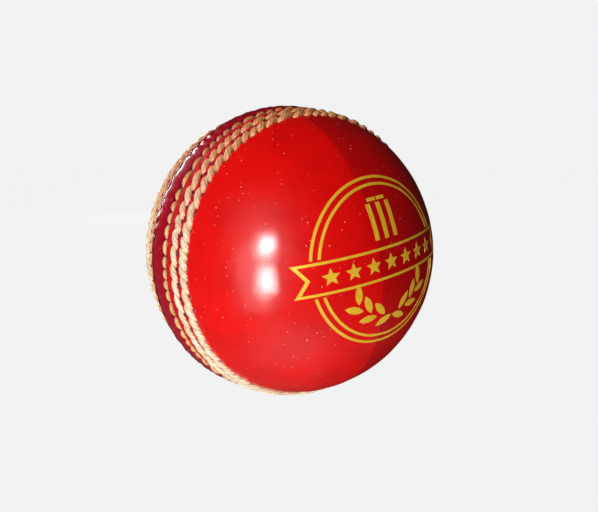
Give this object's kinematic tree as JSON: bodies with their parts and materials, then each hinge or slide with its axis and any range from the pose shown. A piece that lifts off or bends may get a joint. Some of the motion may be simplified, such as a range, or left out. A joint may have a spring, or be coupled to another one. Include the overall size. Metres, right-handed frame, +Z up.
{
  "type": "cricket ball",
  "caption": "Red leather cricket ball, sewn from quarters over a wound cork core, with a raised stitched seam and a plain gold foil emblem.",
  "frame": {"origin": "centre of the ball", "axes": "+Y is the seam's axis, with the joint of the two halves in the XZ plane and the stamped half at -Y; +Z is up"},
  "size_m": [0.0734, 0.0719, 0.0734],
  "materials": {
    "leather": "polished red, high gloss",
    "thread": "waxed linen, twisted",
    "closing_thread": "waxed linen, stained by the dye",
    "foil": "gold transfer, slightly worn",
    "lining": "undyed, matte",
    "yarn": "worsted wool, wound tight",
    "cork": "natural cork",
    "cork_rubber": "pressed cork granules in rubber"
  },
  "bodies": {
    "root": {"nucleus": "cork_rubber", "yarn_winding_1": "yarn", "cork_wrap_1": "cork", "yarn_winding_2": "yarn", "cork_wrap_2": "cork", "yarn_winding_3": "yarn", "cork_wrap_3": "cork", "yarn_winding_4": "yarn", "cork_wrap_4": "cork", "yarn_winding_5": "yarn", "lining_cup_front": "lining", "lining_cup_back": "lining", "leather_front_left": "leather", "leather_front_right": "leather", "leather_back_upper": "leather", "leather_back_lower": "leather", "quarter_thread_front": "thread", "quarter_thread_back": "thread", "stitch_row_front_inner": "closing_thread", "stitch_row_front_middle": "thread", "stitch_row_front_outer": "thread", "stitch_row_back_inner": "closing_thread", "stitch_row_back_middle": "thread", "stitch_row_back_outer": "thread", "foil_stamp": "foil"}
  },
  "joints": []
}
